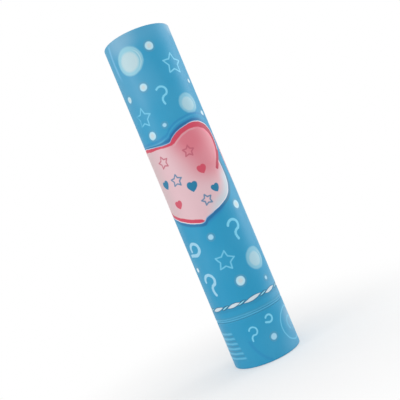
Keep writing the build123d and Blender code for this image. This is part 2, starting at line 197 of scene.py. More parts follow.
# How far outside the edge the light line lies, by angle, and its strength
HEART_GLINT_OUT = [(-180, 1.6), (40, 4.5), (80, 4.3), (90, 3.5), (101, 2.4), (113, 1.7), (180, 1.6)]
HEART_GLINT_SHARES = [(-180, 0.0), (50, 0.0), (66, 0.25), (88, 0.25), (101, 1.0), (125, 1.0), (180, 0.6)]
# The light line, and the dark one beyond it, start at these heights above the heart's centre
GLINT_EDGE, GLINT_HEIGHTS = (0.8, 0.1, 0.35), (12, 24)
# How far the dark line lies outside the edge, and the second dark line outside the light line
SHADE_NEAR, SHADE_NEAR_EDGE = 1.2, (1.6, 0.4)
SHADE_FAR, SHADE_FAR_EDGE = 1.8, (1.4, 0.1, 0.5)
# Cast shade over the lobe and by the tip, each a place and a span, and how it fades outside the edge
CAST_PATCHES, CAST_DEPTH = [(4, 172, 24, 8, 0.7), (4, 107, 12, 4, 0.6)], (-5, -2)
# Width of the white edge, then the spans of its two sides and of the inner and outer side of the red band
EDGE_LINE, EDGE_SOFT, BAND_IN_SOFT, BAND_OUT_SOFT = 0.6, (-0.25, 0.25), (0.3, -0.3), (-0.2, 0.2)
# Widths at which the band begins, and where it is deeper red
BAND_LEAST, BAND_DEEP_ACROSS = (0, 0.6), (18, 34)
# Lines inside the band: how far in, their soft edge, then the ink, shares and strength of each
BAND_LINE_IN, BAND_LINE_EDGE = 1.5, (1.1, 0.3)
BAND_LINES = [(HEART_PALE, HEART_PALE_SHARES, 0.4), (HEART_GLEAM, HEART_GLEAM_SHARES, 0.6)]
# The stroke that leaves the band on the right
BAND_END, BAND_END_STROKE = [(27.6, 148.2), (19.4, 137.0)], 2.6
# Fill: rose past a slanted line and above a height, deepest at one place, lighter by the band at the right
ROSE_HEIGHT, ROSE_SLOPE, ROSE_ACROSS, ROSE_UP = 140, 0.35, (-10, 12, 0.72), (124, 142)
ROSE_DEEP_PLACE, ROSE_DEEP, LIGHT_DEPTH, LIGHT_ACROSS = (7, 162), (17, 3, 0.2), (9, 4, 0.3), (26, 34)
# Fill: mist along the lower right edge, and painted shade along the left
MIST_DEPTH, MIST_ACROSS, MIST_DOWN, LEFT_SHADE_ACROSS = (9, 1, 0.9), (3, 18), (2, -10), (-9, -24, 0.33)
# Small hearts and stars inside it: place, size, turn in degrees and ink, then the strength of a heart
SMALL_HEARTS = [
    (7.4, 139.2, 2.9, 6, HEART_RED, 0.92), (-18.8, 122.4, 2.8, 4, HEART_RED, 0.92),
    (-23.5, 138.5, 3.0, 12, TEAL, 1.0), (-3.5, 130.5, 3.3, -8, TEAL, 1.0), (11.5, 124.0, 2.7, 10, TEAL, 1.0),
]
SMALL_STARS = [
    (-17.0, 154.0, 4.4, 6, ROSE_INK), (3.5, 154.5, 4.0, -10, ROSE_INK), (-12.5, 139.0, 4.3, -8, TEAL),
    (2.5, 119.0, 3.8, 9, TEAL),
]
SMALL_HEART_EDGE, SMALL_STAR_STRENGTH = (0.16, -0.16), 0.85

# Twine: middle height, each pale strand as its middle and half length, and the middle of each gap stroke
TWINE_HEIGHT = 45.0
TWINE_STRANDS = [(-40.4, 5.8), (-23.6, 5.8), (-9.1, 5.0), (5.3, 6.9), (21.3, 5.7)]
TWINE_GAPS = [-48.3, -32.0, -16.1, -3.2, 14.0]
# Tilt, half width and dark rim of the strands, then the same and the half length of the gap strokes
STRAND_TILT, STRAND_HALF, STRAND_RIM = math.radians(7.8), 1.15, 0.5
GAP_TILT, GAP_HALF, GAP_RIM, GAP_LENGTH = math.radians(17), 0.42, 0.85, 3.0
TWINE_EDGE, TWINE_RIM_STRENGTH = (0.2, -0.2), 0.85
# Darker blue behind the twine, and a dull line of painted shade below it, a little above the joint
TWINE_SHADE_HEIGHTS = [(40.6, 42.6, 0.3), (46, 44.5)]
JOINT_SHADE_HEIGHT, JOINT_SHADE_EDGE = 37.6, (0.9, 0.2, 0.22)

# Base: curl, open ring and dot in the same form as on the barrel
BASE_CURLS = [(-3.3, 24.0, 2.85, 155, -17, 1.1)]
BASE_OPEN_RINGS = [(10.4, 27.8, 2.6, 146, -108, 2.2, 0.9, 1.35)]
BASE_DOTS = [(8.8, 15.1, 2.3)]
# Faint swoosh: centre, radius, start and end of the arc in degrees
SWOOSH, SWOOSH_EDGE = (17.1, 22, 25.8, 232, 190), (1.9, 0.2, 0.3)
# Block of bars: pitch, foot, lower and upper end, start on the left and slanted end on the right
BAR_PITCH, BAR_FOOT, BAR_HEIGHTS = 3.7, 6.05, [(6.0, 6.6), (28.4, 27.8)]
BAR_START = (BASE_LABEL_START + 1.2, BASE_LABEL_START + 2)
BAR_END, BAR_END_SLOPE, BAR_END_EDGE = -14, -0.21, (0.8, -0.8)
# Bars and the gaps between them, measured from a bar's middle in shares of the pitch
BAR_SHARES, BAR_GAP_SHARES = (0.28, 0.1, 0.48), (0.3, 0.46, 0.4)
# Turn sign: ring, and arrow with the start and end of its arc in degrees. Strokes: width and strength
SIGN_CENTRE, SIGN_SIZE, SIGN_STROKE = (29.8, 17), 12.0, (1.0, 0.55)
ARROW_SIZE, ARROW_START, ARROW_END, ARROW_STROKE = 4.6, 230, -30, (1.4, 0.45)
ARROW_BARBS = [(-0.6, 3.0), (2.8, 1.6)]


def linear(code):
    """Linear colour with alpha from a hex code."""
    parts = [int(code[i:i + 2], 16) / 255 for i in (1, 3, 5)]
    return (*[c / 12.92 if c <= 0.04045 else ((c + 0.055) / 1.055) ** 2.4 for c in parts], 1)


class Shade:
    """Writes one node tree. Most calls add nodes and give back an output socket."""

    def __init__(self, tree):
        self.tree = tree

    def feed(self, socket, value):
        """Links a socket or sets its value. A hex code stands for a colour."""
        if isinstance(value, bpy.types.NodeSocket):
            self.tree.links.new(value, socket)
        else:
            socket.default_value = linear(value) if isinstance(value, str) else value

    def add(self, kind, values=(), **settings):
        """Outputs of a new node, with its settings and its inputs, given in order or by name."""
        made = self.tree.nodes.new(kind)
        for name, value in settings.items():
            setattr(made, name, value)
        for socket, value in values.items() if isinstance(values, dict) else enumerate(values):
            self.feed(made.inputs[socket], value)
        return made.outputs

    def math(self, operation, *values):
        return self.add("ShaderNodeMath", values, operation=operation)[0]

    def times(self, first, second):
        return self.math("MULTIPLY", first, second)

    def minus(self, first, second):
        return self.math("SUBTRACT", first, second)

    def off(self, value, middle):
        """How far value lies from middle, either way."""
        return self.math("ABSOLUTE", self.minus(value, middle))

    def clamp(self, value):
        return self.math("MINIMUM", self.math("MAXIMUM", value, 0), 1)

    def vector(self, operation, *values):
        number = operation in {"LENGTH", "DISTANCE", "DOT_PRODUCT"}
        return self.add("ShaderNodeVectorMath", values, operation=operation)["Value" if number else "Vector"]

    def scaled(self, vector, share):
        return self.add("ShaderNodeVectorMath", {0: vector, "Scale": share}, operation="SCALE")["Vector"]

    def turned(self, vector, angle):
        values = {"Vector": vector, "Angle": angle}
        return self.add("ShaderNodeVectorRotate", values, rotation_type="Z_AXIS")[0]

    def split(self, vector):
        return tuple(self.add("ShaderNodeSeparateXYZ", [vector]))

    def join(self, x, y, z=0.0):
        return self.add("ShaderNodeCombineXYZ", (x, y, z))[0]

    def step(self, value, low, high, start, end):
        """Smooth step of value, from start at low to end at high."""
        values = (value, low, high, start, end)
        return self.add("ShaderNodeMapRange", values, interpolation_type="SMOOTHSTEP")[0]

    def mask(self, value, zero, full, strength=1.0):
        """Smooth step of value, from zero to full strength."""
        return self.step(value, zero, full, 0, strength)

    def all_of(self, *parts):
        """Product of masks, each a socket or a pair of a value and its span."""
        product, *rest = [self.mask(p[0], *p[1]) if isinstance(p, tuple) else p for p in parts]
        for mask in rest:
            product = self.times(product, mask)
        return product

    def mix(self, share, first, second):
        return self.add("ShaderNodeMix", {"Factor": share, 6: first, 7: second}, data_type="RGBA")[2]

    def group(self, tree, *values):
        return self.add("ShaderNodeGroup", values, node_tree=tree)[0]

    def seen(self):
        """One for camera, glossy and transmission rays, zero for all others."""
        rays = self.add("ShaderNodeLightPath")
        direct = self.math("MAXIMUM", rays["Is Camera Ray"], rays["Is Glossy Ray"])
        return self.math("MAXIMUM", direct, rays["Is Transmission Ray"])


def figure(name, inputs, draw):
    """Node group for one printed figure: named inputs, a distance in label millimetres out."""
    tree = bpy.data.node_groups.new(name, "ShaderNodeTree")
    for label, kind in inputs:
        tree.interface.new_socket(label, in_out="INPUT", socket_type="NodeSocket" + kind)
    tree.interface.new_socket("Distance", in_out="OUTPUT", socket_type="NodeSocketFloat")
    shade = Shade(tree)
    source = shade.add("NodeGroupInput")
    shade.add("NodeGroupOutput", [draw(shade, *source[:len(inputs)])])
    return tree


def local_place(shade, place, centre, turn, size):
    """Place measured from the figure's centre, in its own turn and size."""
    away = shade.vector("SUBTRACT", place, centre)
    return shade.scaled(shade.turned(away, shade.times(turn, -1)), shade.math("DIVIDE", 1, size))


def mirrored(shade, place, across):
    """Place with one of its two coordinates folded to the positive side."""
    x, y, _ = shade.split(place)
    if across == "x":
        return shade.join(shade.math("ABSOLUTE", x), y)
    return shade.join(x, shade.math("ABSOLUTE", y))


def draw_star(shade, place, centre, turn, size):
    """Distance to the outline of a five-pointed star, folded into one tenth of it."""
    inner_share = 0.53
    fold_x, fold_y = math.cos(math.pi / 5), math.sin(math.pi / 5)
    point = mirrored(shade, local_place(shade, place, centre, turn, size), "x")
    for side in (1, -1):
        axis = (side * fold_x, -fold_y, 0)
        over = shade.math("MAXIMUM", shade.vector("DOT_PRODUCT", point, axis), 0)
        point = shade.vector("SUBTRACT", point, shade.scaled(axis, shade.times(over, 2)))
    tip = shade.vector("SUBTRACT", mirrored(shade, point, "x"), (0, 1, 0))
    edge = (inner_share * fold_y, inner_share * fold_x - 1, 0)
    along = shade.math("DIVIDE", shade.vector("DOT_PRODUCT", tip, edge), edge[0] ** 2 + edge[1] ** 2)
    return shade.times(shade.vector("DISTANCE", tip, shade.scaled(edge, shade.clamp(along))), size)


def draw_arc(shade, place, centre, middle, half_span, size):
    """Distance to an arc of a circle."""
    point = mirrored(shade, local_place(shade, place, centre, middle, size), "y")
    x, y, _ = shade.split(point)
    end_x, end_y = shade.math("COSINE", half_span), shade.math("SINE", half_span)
    past = shade.minus(shade.times(end_x, y), shade.times(end_y, x))
    ring = shade.off(shade.vector("LENGTH", point), 1)
    end = shade.vector("DISTANCE", point, shade.join(end_x, end_y))
    beyond = shade.math("GREATER_THAN", past, 0)
    return shade.times(shade.math("MULTIPLY_ADD", beyond, shade.minus(end, ring), ring), size)


def draw_segment(shade, place, start, end):
    """Distance to a straight stroke."""
    line = shade.vector("SUBTRACT", end, start)
    away = shade.vector("SUBTRACT", place, start)
    length = shade.vector("DOT_PRODUCT", line, line)
    along = shade.math("DIVIDE", shade.vector("DOT_PRODUCT", away, line), length)
    return shade.vector("DISTANCE", away, shade.scaled(line, shade.clamp(along)))


def draw_heart(shade, place, centre, turn, size):
    """Level of the heart curve, where x2 + y2 - 1 is y times the cube root of x2: below zero inside."""
    x, y, _ = shade.split(local_place(shade, place, centre, turn, size))
    across = shade.times(x, x)
    round_level = shade.minus(shade.math("MULTIPLY_ADD", y, y, across), 1)
    return shade.minus(round_level, shade.times(shade.math("POWER", across, 1 / 3), y))


PLACED = [("Place", "Vector"), ("Centre", "Vector")]
TURNED = PLACED + [("Turn", "Float"), ("Size", "Float")]
BENT = PLACED + [("Middle", "Float"), ("Half", "Float"), ("Size", "Float")]
STRAIGHT = [("Place", "Vector"), ("Start", "Vector"), ("End", "Vector")]
STAR = figure("star_outline", TURNED, draw_star)
ARC = figure("arc_stroke", BENT, draw_arc)
SEGMENT = figure("straight_stroke", STRAIGHT, draw_segment)
HEART = figure("small_heart", TURNED, draw_heart)


class Finish(Shade):
    """Writes one material. Keeps the place on the object, in metres, and the colour painted so far."""

    def __init__(self, name, **constants):
        self.material = bpy.data.materials.new(name)
        self.material.use_nodes = True
        super().__init__(self.material.node_tree)
        self.shader = self.tree.nodes["Principled BSDF"]
        for label, value in constants.items():
            self.shader.inputs[label.replace("_", " ")].default_value = value
        self.place = self.add("ShaderNodeTexCoord")["Object"]
        self.colour = None

    def grain(self, scale, detail=2.0, roughness=0.5, output="Fac"):
        """Noise over the object, at one scale or at one scale for each axis."""
        place = self.place
        if isinstance(scale, tuple):
            place, scale = self.vector("MULTIPLY", place, scale), 1
        values = {"Vector": place, "Scale": scale, "Detail": detail, "Roughness": roughness}
        return self.add("ShaderNodeTexNoise", values)[output]

    def paint(self, ink, *parts):
        """Ink over the colour so far, by the product of masks."""
        self.colour = self.mix(self.all_of(*parts), self.colour, ink)

    def done(self, share, rough, relief=None, bump=None):
        """The material, with its colour, a roughness stepped from a share, and a relief."""
        self.feed(self.shader.inputs["Base Color"], self.colour)
        self.feed(self.shader.inputs["Roughness"], self.step(share, *rough))
        if bump:
            values = {"Height": relief, "Strength": bump[0], "Distance": bump[1]}
            self.feed(self.shader.inputs["Normal"], self.add("ShaderNodeBump", values)[0])
        return self.material


class Label(Finish):
    """Writes a printed film. Keeps the place on the flat label, in millimetres, as spot, s and z."""

    def __init__(self, name, start):
        super().__init__(name, IOR=1.5)
        x, y, z = self.split(self.place)
        angle = self.math("ARCTAN2", x, self.times(y, -1))
        s = self.math("WRAP", self.times(angle, RADIUS_MM), start + LABEL_PERIOD, start)
        flat = self.join(s, self.math("DIVIDE", z, MM))
        wander = self.vector("SUBTRACT", self.grain(EDGE_WANDER_SCALE, output="Color"), (0.5, 0.5, 0.5))
        self.spot = self.vector("MULTIPLY_ADD", wander, (EDGE_WANDER, EDGE_WANDER, 0), flat)
        self.s, self.z, _ = self.split(self.spot)

    def away(self, s, z):
        """Distance from a place."""
        return self.vector("DISTANCE", self.spot, (s, z, 0))

    def from_middle(self, s, z):
        """Place measured from a figure's middle, the shorter way round the label's seam."""
        half_label = LABEL_PERIOD / 2
        across = self.math("WRAP", self.minus(self.s, s), half_label, -half_label)
        return self.join(across, self.minus(self.z, z))

    def shape(self, tree, s, z, size, turn):
        """A star or a heart, turned by degrees."""
        return self.group(tree, self.spot, (s, z, 0), math.radians(turn), size)

    def arc(self, s, z, size, start, end):
        """Distance to an arc, from its start back to its end in degrees."""
        middle, half = math.radians((start + end) / 2), math.radians((start - end) / 2)
        return self.group(ARC, self.spot, (s, z, 0), middle, half, size)

    def straight(self, start, end):
        """Distance to a straight stroke between two places."""
        return self.group(SEGMENT, self.spot, (*start, 0), (*end, 0))

    def about(self, value, size, edge, strength=1.0):
        """Mask of a value, with its span measured from a size."""
        return self.mask(value, size + edge[0], size + edge[1], strength)

    def line(self, away, width, strength=1.0):
        """Mask of a stroke."""
        return self.about(away, width / 2, (STROKE_SOFT, -STROKE_SOFT), strength)

    def heights(self, spans):
        """Mask between heights."""
        return self.all_of(*[(self.z, span) for span in spans])

    def by_angle(self, share, points, scale=1):
        """Smooth curve round the heart, by share of a turn, through (degrees, size) points."""
        made = self.tree.nodes.new("ShaderNodeFloatCurve")
        self.feed(made.inputs["Value"], share)
        line = made.mapping.curves[0]
        while len(line.points) < len(points):
            line.points.new(0.5, 0.5)
        for point, (angle, size) in zip(line.points, points):
            point.location = (angle / 360 + 0.5, size / scale)
            point.handle_type = "AUTO_CLAMPED"
        made.mapping.update()
        return self.times(made.outputs[0], scale)


def on_circle(s, z, size, degrees):
    """Place on a circle."""
    angle = math.radians(degrees)
    return Vector((s + size * math.cos(angle), z + size * math.sin(angle)))


def paint_dots(label, dots, ink, middle_ink=None):
    """Pale dots in a thin dull ring, with a middle of its own ink if one is given."""
    for s, z, size in dots:
        away = label.away(s, z)
        label.paint(DOT_SHADE, (label.off(away, size + DOT_RING_GAP), DOT_RING_EDGE))
        label.paint(ink, label.about(away, size, DOT_EDGE))
        if middle_ink:
            label.paint(middle_ink, label.about(away, DOT_CORE_SHARE * size, DOT_EDGE))


def paint_bubbles(label):
    """Soft round lights, each with a halo and thin arcs on the right."""
    for s, z, size, core, halo_strength, core_strength in BUBBLES:
        label.paint(BUBBLE_HALO, label.about(label.away(s, z), size, BUBBLE_EDGE, halo_strength))
        off_core = label.away(s + CORE_SHIFT[0], z + CORE_SHIFT[1])
        core_span = [core * share for share in CORE_EDGE_SHARES]
        label.paint(BUBBLE_CORE, label.mask(off_core, *core_span, core_strength))
        right = (label.s, [s + share * size for share in BUBBLE_RIGHT_SHARES])
        for share, ink, strength in BUBBLE_ARCS:
            arc = (label.off(off_core, share * size), (*BUBBLE_ARC_EDGE, strength))
            label.paint(ink, arc, right)


def paint_stars(label):
    """Five-pointed outlines, some worn at the left tip."""
    for s, z, size, turn, strength, tip_share in STARS:
        away = label.shape(STAR, s, z, size, turn)
        worn_span = [s + share * size for share in STAR_WORN_SHARES]
        worn = label.step(label.s, *worn_span, tip_share * strength, strength)
        label.paint(STROKE_CYAN, label.line(away, STAR_STROKE), worn)


def paint_stroke(label, away, stroke):
    """Cyan line, paler where it is wide."""
    label.paint(PALE_CYAN if stroke > WIDE_STROKE else STROKE_CYAN, label.line(away, stroke))


def paint_curls(label, curls):
    """Curls: an open bowl, then a bent tail."""
    for s, z, size, start, turn, stroke in curls:
        away = label.arc(s, z, size, start, BOWL_END)
        spin = Matrix.Rotation(math.radians(turn), 2) * size
        tail = [Vector((s, z)) + spin @ Vector(point) for point in TAIL_SHARES]
        for first, second in zip(tail, tail[1:]):
            away = label.math("SMOOTH_MIN", away, label.straight(first, second), STROKE_BLEND)
        paint_stroke(label, away, stroke)


def paint_open_rings(label, rings):
    """Rings that are open on the left, with a straight lower arm."""
    for s, z, size, start, end, arm, rise, stroke in rings:
        lower = on_circle(s, z, size, end)
        lower_arm = label.straight(lower, lower + Vector((-arm, rise)))
        away = label.math("SMOOTH_MIN", label.arc(s, z, size, start, end), lower_arm, STROKE_BLEND)
        paint_stroke(label, away, stroke)


def paint_heart_surround(label, share, y, depth):
    """Outside the heart: a cast shade, a dark line along the edge, and a light and a dark line above."""
    casts = [label.mask(label.away(s, z), *span) for s, z, *span in CAST_PATCHES]
    label.paint(SHADOW_BLUE, (depth, CAST_DEPTH), label.math("MAXIMUM", *casts))
    near = (label.off(depth, -SHADE_NEAR), SHADE_NEAR_EDGE)
    for ink, shares in ((SHADOW_DEEP, HEART_SHADE_SHARES), (SHADOW_GREY, HEART_GREY_SHARES)):
        label.paint(ink, near, label.by_angle(share, shares))
    past_glint = label.math("ADD", depth, label.by_angle(share, HEART_GLINT_OUT, WIDTH_SCALE))
    upper = (y, GLINT_HEIGHTS)
    label.paint(SHADOW_BLUE, (label.off(past_glint, -SHADE_FAR), SHADE_FAR_EDGE), upper)
    glint = (label.math("ABSOLUTE", past_glint), GLINT_EDGE)
    label.paint(STROKE_CYAN, glint, upper, label.by_angle(share, HEART_GLINT_SHARES))


def heart_fill(label, x, y, depth):
    """Pink of the heart: rose in the upper right lobe, misty at the lower right, greyed by painted shade
    towards the left.
    """
    slant = label.math("MULTIPLY_ADD", label.minus(label.z, ROSE_HEIGHT), ROSE_SLOPE, label.s)
    rose = label.all_of((slant, ROSE_ACROSS), (label.z, ROSE_UP))
    rose = label.math("ADD", rose, label.mask(label.away(*ROSE_DEEP_PLACE), *ROSE_DEEP))
    light = label.all_of((depth, LIGHT_DEPTH), (x, LIGHT_ACROSS))
    fill = label.mix(label.times(rose, label.minus(1, light)), HEART_PALE, HEART_ROSE)
    mist = label.all_of((depth, MIST_DEPTH), (x, MIST_ACROSS), (y, MIST_DOWN))
    fill = label.mix(mist, fill, HEART_MIST)
    # Painted shade greys the fill towards the left
    return label.mix(label.mask(x, *LEFT_SHADE_ACROSS), fill, HEART_LEFT_SHADE)


def paint_heart_band(label, share, x, depth):
    """Red band along the edge with light lines inside it, and the stroke that leaves it on the right."""
    band = label.by_angle(share, HEART_BAND, WIDTH_SCALE)
    inner = label.minus(depth, band)
    off_line = label.off(inner, BAND_LINE_IN)
    for ink, shares, strength in BAND_LINES:
        label.paint(ink, (off_line, (*BAND_LINE_EDGE, strength)), label.by_angle(share, shares))
    red = label.mix(label.mask(x, *BAND_DEEP_ACROSS), HEART_RED, HEART_RED_DEEP)
    sides = label.about(inner, EDGE_LINE, BAND_IN_SOFT), label.about(depth, EDGE_LINE, BAND_OUT_SOFT)
    label.paint(red, *sides, (band, BAND_LEAST))
    label.paint(HEART_RED_DEEP, label.line(label.straight(*BAND_END), BAND_END_STROKE))


def paint_heart(label):
    """Large pink heart: surround, white edge, fill, red band, and small hearts and stars inside."""
    away = label.vector("SUBTRACT", label.spot, HEART_CENTRE)
    x, y, _ = label.split(away)
    share = label.math("MULTIPLY_ADD", label.math("ARCTAN2", y, x), 1 / TURN, 0.5)
    outline = label.by_angle(share, HEART_OUTLINE, RADIUS_SCALE)
    depth = label.minus(outline, label.vector("LENGTH", away))
    paint_heart_surround(label, share, y, depth)
    label.paint(HEART_EDGE, (depth, EDGE_SOFT), label.by_angle(share, HEART_EDGE_SHARES))
    label.paint(heart_fill(label, x, y, depth), label.about(depth, EDGE_LINE, EDGE_SOFT))
    paint_heart_band(label, share, x, depth)
    for *heart, ink, strength in SMALL_HEARTS:
        label.paint(ink, label.mask(label.shape(HEART, *heart), *SMALL_HEART_EDGE, strength))
    for *star, ink in SMALL_STARS:
        label.paint(ink, label.line(label.shape(STAR, *star), STAR_STROKE, SMALL_STAR_STRENGTH))


def lens(label, middle, tilt, half_length, half_width, strength=1.0):
    """Mask of a tilted stroke with pointed ends, round the label's seam too."""
    along, off, _ = label.split(label.turned(label.from_middle(middle, TWINE_HEIGHT), -tilt))
    share = label.math("DIVIDE", along, half_length)
    taper = label.math("MULTIPLY_ADD", label.times(share, share), -half_width, half_width)
    return label.mask(label.minus(label.math("ABSOLUTE", off), taper), *TWINE_EDGE, strength)


def paint_twine(label):
    """Twisted twine: slanted pale strands with dark rims, and a thin light stroke in each gap."""
    strokes = [(s, STRAND_TILT, length, STRAND_HALF, STRAND_RIM, TWINE_WHITE) for s, length in TWINE_STRANDS]
    strokes += [(s, GAP_TILT, GAP_LENGTH, GAP_HALF, GAP_RIM, TWINE_LIGHT) for s in TWINE_GAPS]
    for s, tilt, length, half, rim, _ in strokes:
        label.paint(TWINE_DARK, lens(label, s, tilt, length + rim, half + rim, TWINE_RIM_STRENGTH))
    for s, tilt, length, half, _, ink in strokes:
        label.paint(ink, lens(label, s, tilt, length, half))


def paint_highlight_patches(label, patches):
    """Soft patches of painted highlight on the film, round the label's seam too."""
    for s, z, *span in patches:
        label.paint(FILM_HIGHLIGHT, (label.vector("LENGTH", label.from_middle(s, z)), span))


def paint_highlights(label):
    """Painted highlight towards the muzzle and in patches, and a painted highlight along a crease."""
    # Painted highlight towards the muzzle, then in patches
    label.paint(FILM_HIGHLIGHT, (label.z, MUZZLE_HIGHLIGHT))
    paint_highlight_patches(label, HIGHLIGHT_PATCHES)
    bend = label.math("POWER", label.minus(label.z, CREASE_Z), 2)
    off_line = label.off(label.s, label.math("MULTIPLY_ADD", bend, CREASE_BEND, CREASE_S))
    # Painted highlight: a light line along the crease
    label.paint(CREASE_HIGHLIGHT, (off_line, CREASE_EDGE), label.heights(CREASE_ENDS))


def paint_bars(label):
    """Block of plain bars at the left of the base, with duller gaps between them."""
    count = label.math("DIVIDE", label.minus(label.z, BAR_FOOT), BAR_PITCH)
    off_bar = label.off(label.math("FRACT", count), 0.5)
    past_end = label.minus(label.s, label.math("MULTIPLY_ADD", label.z, BAR_END_SLOPE, BAR_END))
    block = label.all_of((past_end, BAR_END_EDGE), (label.s, BAR_START), label.heights(BAR_HEIGHTS))
    label.paint(SHADOW_GREY, (off_bar, BAR_GAP_SHARES), block)
    label.paint(STROKE_CYAN, (off_bar, BAR_SHARES), block)


def paint_turn_sign(label):
    """Plain ring with a turn arrow."""
    ring = label.off(label.away(*SIGN_CENTRE), SIGN_SIZE)
    label.paint(STROKE_CYAN, label.line(ring, *SIGN_STROKE))
    arrow = label.arc(*SIGN_CENTRE, ARROW_SIZE, ARROW_START, ARROW_END)
    tip = on_circle(*SIGN_CENTRE, ARROW_SIZE, ARROW_END)
    for barb in ARROW_BARBS:
        arrow = label.math("MINIMUM", arrow, label.straight(tip, tip + Vector(barb)))
    label.paint(STROKE_CYAN, label.line(arrow, *ARROW_STROKE))


def paint_base(label):
    """Patches of painted highlight, then the print of the base: a faint swoosh, a block of bars, a turn
    sign, curl, ring and dot.
    """
    # Painted highlight in patches on the base
    paint_highlight_patches(label, BASE_HIGHLIGHT_PATCHES)
    label.paint(SHADOW_BLUE, (label.arc(*SWOOSH), SWOOSH_EDGE))
    paint_bars(label)
    paint_turn_sign(label)
    paint_curls(label, BASE_CURLS)
    paint_open_rings(label, BASE_OPEN_RINGS)
    paint_dots(label, BASE_DOTS, DOT_BLUE)


def paint_barrel(label):
    """Print of the barrel, from the ground up, with painted highlights and painted shade."""
    paint_highlights(label)
    paint_bubbles(label)
    paint_dots(label, DOTS, DOT_RIM, DOT_CORE)
    paint_dots(label, WHITE_DOTS, DOT_WHITE)
    paint_dots(label, BLUE_DOTS, DOT_BLUE)
    paint_stars(label)
    paint_curls(label, CURLS)
    paint_open_rings(label, OPEN_RINGS)
    paint_heart(label)
    label.paint(TEAL, label.heights(TWINE_SHADE_HEIGHTS))
    # Painted shade: a dull line a little above the joint
    label.paint(SHADOW_GREY, (label.off(label.z, JOINT_SHADE_HEIGHT), JOINT_SHADE_EDGE))
    paint_twine(label)


# Finishes. Noise scales are per metre. Rough gives a span of noise and the roughness at its two ends.
# Bump gives a strength and a height in metres
def printed_film(name, start, height, strength, draw):
    """Glossy film with its print, and a light line at a height broken by noise, partly a pale cut edge and
    partly painted highlight.
    """
    tone_span, line_edge, worn_span = (0.35, 0.72, 0.35), (0.8, 0.25, strength), (0.38, 0.62, 0.35, 0.75)
    fine_share, rough, bump = 0.4, (0.3, 0.7, 0.44, 0.54), (0.06, 0.0004)
    label = Label(name, start)
    label.colour = label.mix(label.mask(label.grain(26, 3), *tone_span), FILM_BLUE, FILM_BLUE_LIGHT)
    draw(label)
    worn = label.step(label.grain(40), *worn_span)
    # Partly painted highlight: a light line by the cut edge
    label.paint(STROKE_CYAN, (label.off(label.z, height), line_edge), worn)
    skin = label.math("MULTIPLY_ADD", label.grain(900), fine_share, label.grain(150))
    return label.done(label.grain((60, 60, 14), 3), rough, skin, bump)


def wound_paper():
    """Spiral-wound tube board: ply seams, fibres and small specks, with ends tinted like the print."""
    ply_pitch, seam_share, seam_depth, seam_strength = 62 * MM, 0.012, 1.5, 0.7
    speck_span, end_span = (0.70, 0.76, 0.5), (0.7, 0.9)
    rough, bump = (0.2, 0.8, 0.75, 0.92), (0.35, 0.0003)
    shade = Finish("wound_paper", IOR=1.45)
    x, y, z = shade.split(shade.place)
    turn_share = shade.math("DIVIDE", shade.math("ARCTAN2", y, x), TURN)
    ply = shade.math("FRACT", shade.math("ADD", shade.math("DIVIDE", z, ply_pitch), turn_share))
    seam = shade.step(shade.off(ply, 0.5), 0, seam_share, 1, 0)
    fibre = shade.grain((900, 900, 160), 4, 0.6)
    shade.colour = shade.mix(fibre, "#B79A76", "#D0B48E")
    shade.paint("#8C6F4E", (shade.grain(1400, 1), speck_span))
    shade.paint("#7E6344", shade.times(seam, seam_strength))
    _, _, facing = shade.split(shade.add("ShaderNodeNewGeometry")["True Normal"])
    shade.paint(shade.mix(fibre, "#7FB9D2", "#A9CFDF"), (shade.math("ABSOLUTE", facing), end_span))
    relief = shade.minus(fibre, shade.times(seam, seam_depth))
    return shade.done(fibre, rough, relief, bump)


def moulded(name, dark, light, roughness, highlight_height=None):
    """Moulded plastic: spark texture, slight flow clouds, and a pale line of painted highlight at a height
    if given.
    """
    cloud_span, line_edge, smoother, rougher = (0.3, 0.7), (0.6, 0.15, 0.32), 0.06, 0.1
    rough, bump = (0.3, 0.7, roughness - smoother, roughness + rougher), (0.12, 0.0002)
    shade = Finish(name, IOR=1.49)
    fine = shade.grain(2100)
    shade.colour = shade.mix(shade.mask(shade.grain(45, 3), *cloud_span), dark, light)
    # Painted highlight: a pale line round the part at a height
    if highlight_height:
        _, _, z = shade.split(shade.place)
        off_line = shade.off(shade.math("DIVIDE", z, MM), highlight_height)
        shade.paint(STROKE_CYAN, (off_line, line_edge))
    return shade.done(fine, rough, fine, bump)


def metal(name, dark, light, roughness, stretch):
    """Metal with turning or drawing marks along the stretched direction."""
    smoother, rougher = 0.07, 0.1
    rough, bump = (0.25, 0.75, roughness - smoother, roughness + rougher), (0.12, 0.0001)
    shade = Finish(name, Metallic=1.0)
    marks = shade.grain(stretch, 4, 0.6)
    shade.colour = shade.mix(shade.grain(70), dark, light)
    return shade.done(marks, rough, marks, bump)


def grained(name, grain, tones, rough, bump=None, **constants):
    """Finish from one noise: its scale, detail and roughness, then two colours, a rough span and a bump."""
    shade = Finish(name, **constants)
    share = shade.grain(*grain)
    shade.colour = shade.mix(share, *tones)
    return shade.done(share, rough, share, bump)


def film_back():
    """White inner side of the film, with a faint haze."""
    tones, rough = ("#D9DEE0", "#ECEEEE"), (0.3, 0.7, 0.4, 0.55)
    return grained("film_back", (120, 3), tones, rough, IOR=1.45)


def card():
    """Grey-white card with fibres."""
    tones, rough, bump = ("#B9B3A8", "#DDD8CE"), (0.2, 0.8, 0.75, 0.95), (0.25, 0.0002)
    return grained("cap_card", (800, 4, 0.65), tones, rough, bump, IOR=1.45)


def foil_finish():
    """Bright crinkled foil."""
    tones, rough, bump = ("#A7ADB3", "#D9DCDF"), (0.3, 0.7, 0.16, 0.34), (0.3, 0.0005)
    return grained("cap_foil", (260, 4, 0.6), tones, rough, bump, Metallic=1.0)


